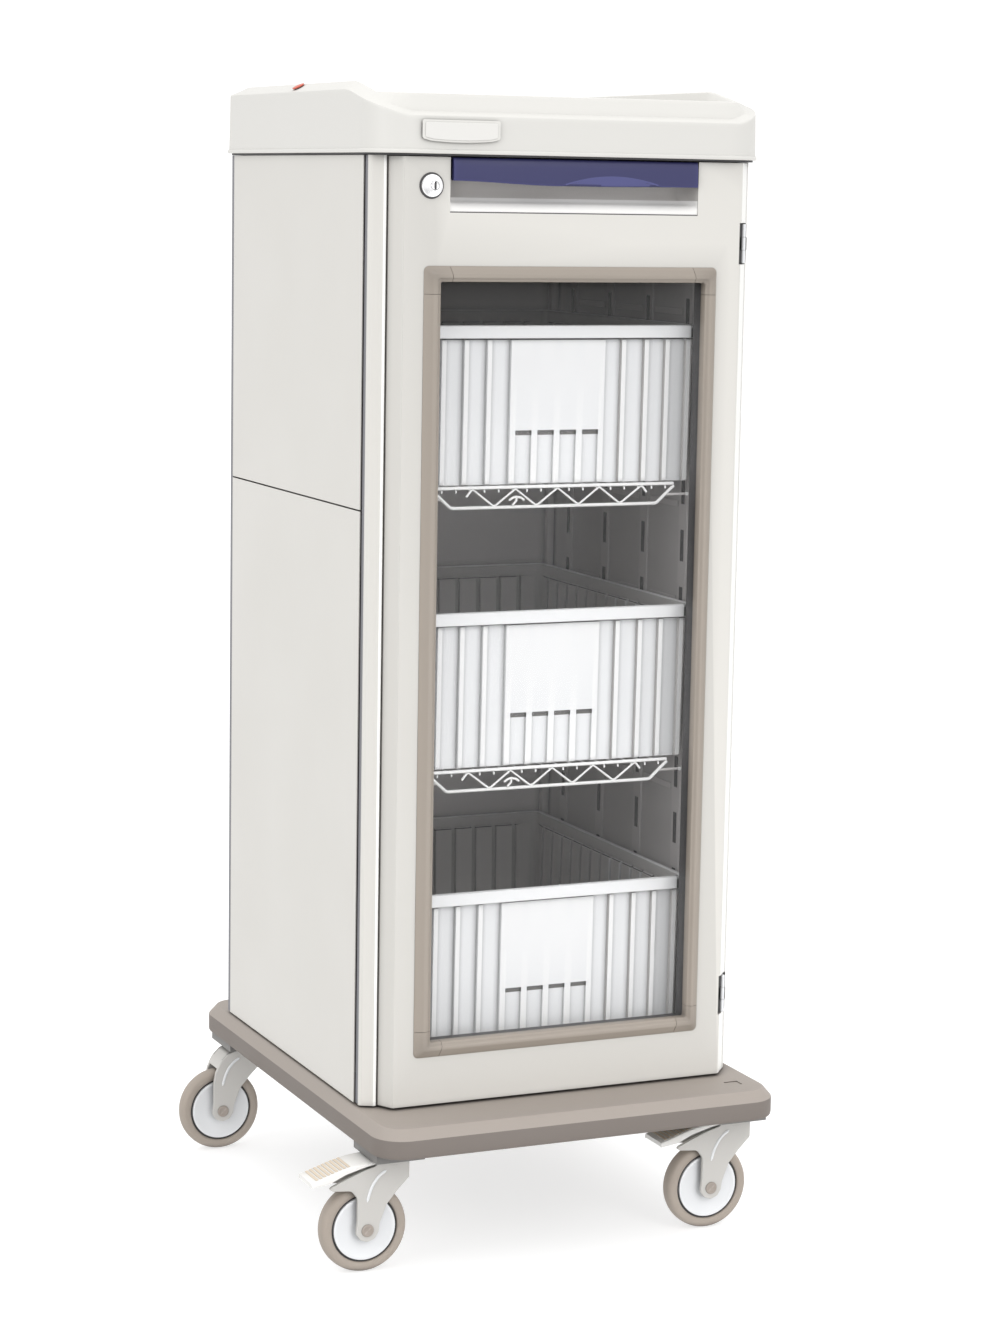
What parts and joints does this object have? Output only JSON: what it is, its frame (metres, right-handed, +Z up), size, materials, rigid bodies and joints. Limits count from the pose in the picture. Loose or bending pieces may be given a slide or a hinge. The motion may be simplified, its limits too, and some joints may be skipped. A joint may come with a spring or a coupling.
{
  "type": "medication cart",
  "caption": "Hospital tote cart: pale cabinet with a glazed keyed door, wire shelves and open totes inside, moulded top, bumper base and swivel casters with brake pedals.",
  "frame": {"origin": "bottom centre of the bounding box, on the floor under the cart", "axes": "+Z up, door faces -Y, width along X with the trailing side of the casters towards -X"},
  "size_m": [0.705, 0.776, 1.6438],
  "materials": {
    "body": "warm off-white powder coat, fine texture",
    "moulding": "warm off-white moulded plastic, satin",
    "bumper": "taupe moulded plastic, fine grain",
    "chassis": "dark grey painted steel",
    "badge": "plain satin plate, no lettering",
    "marker": "plain orange-red dot",
    "seam": "grey sealing strip",
    "liner": "dark warm grey liner, matt",
    "glazing": "clear glazing",
    "bezel": "taupe moulded frame",
    "handle": "indigo moulded grip",
    "lock_chrome": "polished",
    "steel": "plated steel",
    "wire": "white coated wire",
    "tote": "pale grey-white moulded plastic",
    "fork": "light warm grey moulded housing",
    "wheel": "pale wheel disc",
    "tyre": "taupe non-marking tread",
    "pedal": "cream pedal"
  },
  "bodies": {
    "cabinet": {"base_bumper": "bumper", "chassis_frame": "chassis", "moulded_top": "moulding", "top_badge": "badge", "top_marker": "marker", "panel_left_upper": "body", "panel_left_lower": "body", "post_front_left": "body", "post_back_left": "seam", "seam_strip_left": "seam", "liner_left": "liner", "panel_right_upper": "body", "panel_right_lower": "body", "post_front_right": "body", "post_back_right": "seam", "seam_strip_right": "seam", "liner_right": "liner", "panel_back": "body", "liner_back": "liner", "rail_header": "body", "rail_sill": "body", "hinge_upper_frame_leaf": "steel", "hinge_lower_frame_leaf": "steel", "shelf_upper": "wire", "shelf_middle": "wire", "shelf_lower": "wire"},
    "door": {"door_panel": "body", "window_pane": "glazing", "bezel_rail_top": "bezel", "bezel_corner_top_left": "bezel", "bezel_corner_top_right": "bezel", "bezel_rail_bottom": "bezel", "bezel_corner_bottom_left": "bezel", "bezel_corner_bottom_right": "bezel", "bezel_stile_left": "bezel", "bezel_stile_right": "bezel", "pocket_cup": "moulding", "pull_handle": "handle", "lock_body": "lock_chrome", "hinge_upper_door_leaf": "steel", "hinge_lower_door_leaf": "steel"},
    "lock_plug": {"lock_plug": "lock_chrome", "lock_cam": "steel"},
    "tote_upper": {"tote_upper": "tote"},
    "tote_middle": {"tote_middle": "tote"},
    "tote_lower": {"tote_lower": "tote"},
    "fork_front_left": {"caster_front_left_fork": "fork"},
    "wheel_front_left": {"caster_front_left_wheel": "wheel", "caster_front_left_tyre": "tyre"},
    "pedal_front_left": {"caster_front_left_pedal": "pedal"},
    "fork_front_right": {"caster_front_right_fork": "fork"},
    "wheel_front_right": {"caster_front_right_wheel": "wheel", "caster_front_right_tyre": "tyre"},
    "pedal_front_right": {"caster_front_right_pedal": "pedal"},
    "fork_back_left": {"caster_back_left_fork": "fork"},
    "wheel_back_left": {"caster_back_left_wheel": "wheel", "caster_back_left_tyre": "tyre"},
    "fork_back_right": {"caster_back_right_fork": "fork"},
    "wheel_back_right": {"caster_back_right_wheel": "wheel", "caster_back_right_tyre": "tyre"}
  },
  "joints": [
    {"name": "door_hinge", "type": "hinge", "parent": "cabinet", "child": "door", "pos_m": [0.3075, -0.279, 0.881], "axis": [0, 0, 1], "range_deg": [0, 180]},
    {"name": "lock_turn", "type": "hinge", "parent": "door", "child": "lock_plug", "pos_m": [-0.1715, -0.265, 1.5024], "axis": [0, 1, 0], "range_deg": [0, 90]},
    {"name": "tote_upper_lift", "type": "slide", "parent": "cabinet", "child": "tote_upper", "axis": [0, 0, 1], "range_m": [0, 0.05]},
    {"name": "tote_middle_lift", "type": "slide", "parent": "cabinet", "child": "tote_middle", "axis": [0, 0, 1], "range_m": [0, 0.05]},
    {"name": "tote_lower_lift", "type": "slide", "parent": "cabinet", "child": "tote_lower", "axis": [0, 0, 1], "range_m": [0, 0.05]},
    {"name": "swivel_front_left", "type": "hinge", "parent": "cabinet", "child": "fork_front_left", "pos_m": [-0.2275, -0.308, 0.16], "axis": [0, 0, 1], "continuous": true},
    {"name": "spin_front_left", "type": "hinge", "parent": "fork_front_left", "child": "wheel_front_left", "pos_m": [-0.2675, -0.308, 0.0635], "axis": [0, 1, 0], "continuous": true},
    {"name": "brake_front_left", "type": "hinge", "parent": "fork_front_left", "child": "pedal_front_left", "pos_m": [-0.2635, -0.308, 0.1495], "axis": [0, -1, 0], "range_deg": [0, 8]},
    {"name": "swivel_front_right", "type": "hinge", "parent": "cabinet", "child": "fork_front_right", "pos_m": [0.3105, -0.308, 0.16], "axis": [0, 0, 1], "continuous": true},
    {"name": "spin_front_right", "type": "hinge", "parent": "fork_front_right", "child": "wheel_front_right", "pos_m": [0.2705, -0.308, 0.0635], "axis": [0, 1, 0], "continuous": true},
    {"name": "brake_front_right", "type": "hinge", "parent": "fork_front_right", "child": "pedal_front_right", "pos_m": [0.2745, -0.308, 0.1495], "axis": [0, -1, 0], "range_deg": [0, 8]},
    {"name": "swivel_back_left", "type": "hinge", "parent": "cabinet", "child": "fork_back_left", "pos_m": [-0.2275, 0.308, 0.16], "axis": [0, 0, 1], "continuous": true},
    {"name": "spin_back_left", "type": "hinge", "parent": "fork_back_left", "child": "wheel_back_left", "pos_m": [-0.2675, 0.308, 0.0635], "axis": [0, 1, 0], "continuous": true},
    {"name": "swivel_back_right", "type": "hinge", "parent": "cabinet", "child": "fork_back_right", "pos_m": [0.3105, 0.308, 0.16], "axis": [0, 0, 1], "continuous": true},
    {"name": "spin_back_right", "type": "hinge", "parent": "fork_back_right", "child": "wheel_back_right", "pos_m": [0.2705, 0.308, 0.0635], "axis": [0, 1, 0], "continuous": true}
  ]
}
